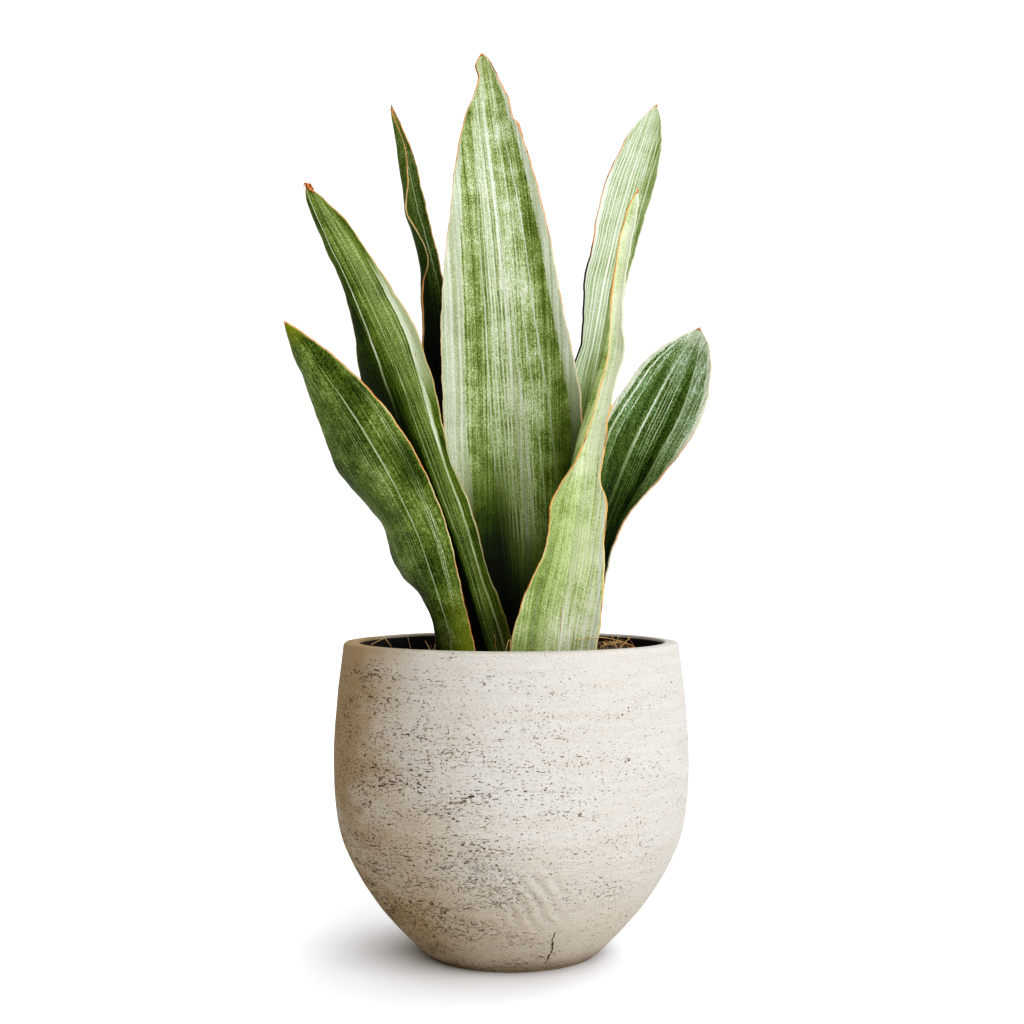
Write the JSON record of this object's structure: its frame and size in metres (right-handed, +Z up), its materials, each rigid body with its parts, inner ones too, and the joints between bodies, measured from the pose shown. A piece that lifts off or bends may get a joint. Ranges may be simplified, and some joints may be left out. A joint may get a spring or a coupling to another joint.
{
  "type": "potted metallica snake plant",
  "caption": "Snake plant with stiff, upright, pointed green leaves in a round fibre-clay planter of soil; stands on its flat base.",
  "frame": {"origin": "centre of the planter's flat base", "axes": "+Z up along the planter's axis; -Y towards the front, which is the side the picture shows; +X to the right seen from the front"},
  "size_m": [0.2348, 0.2, 0.5112],
  "materials": {
    "planter": "matt off-white fibre-clay with fine dark pits",
    "potting_soil": "dark, crumbly peat with fibres",
    "rhizome": "matt, fleshy and ringed",
    "leaf_front_left": "satin, dark green with a pale midrib line and orange-brown margins",
    "leaf_mid_left": "satin, dark green with a pale midrib line and orange-brown margins",
    "leaf_centre": "satin, mottled green with pale bands and white lines along the blade",
    "leaf_back_right": "satin, pale green with white lines along the blade",
    "leaf_front_right": "satin, pale green with white lines along the blade",
    "leaf_right": "satin, dark green with silvery lines and a cream margin",
    "leaf_back_left": "satin, dark green with an orange-brown wavy margin"
  },
  "bodies": {
    "root": {"planter": "planter", "potting_soil": "potting_soil", "rhizome": "rhizome", "leaf_front_left": "leaf_front_left", "leaf_mid_left": "leaf_mid_left", "leaf_centre": "leaf_centre", "leaf_back_right": "leaf_back_right", "leaf_front_right": "leaf_front_right", "leaf_right": "leaf_right", "leaf_back_left": "leaf_back_left"}
  },
  "joints": []
}
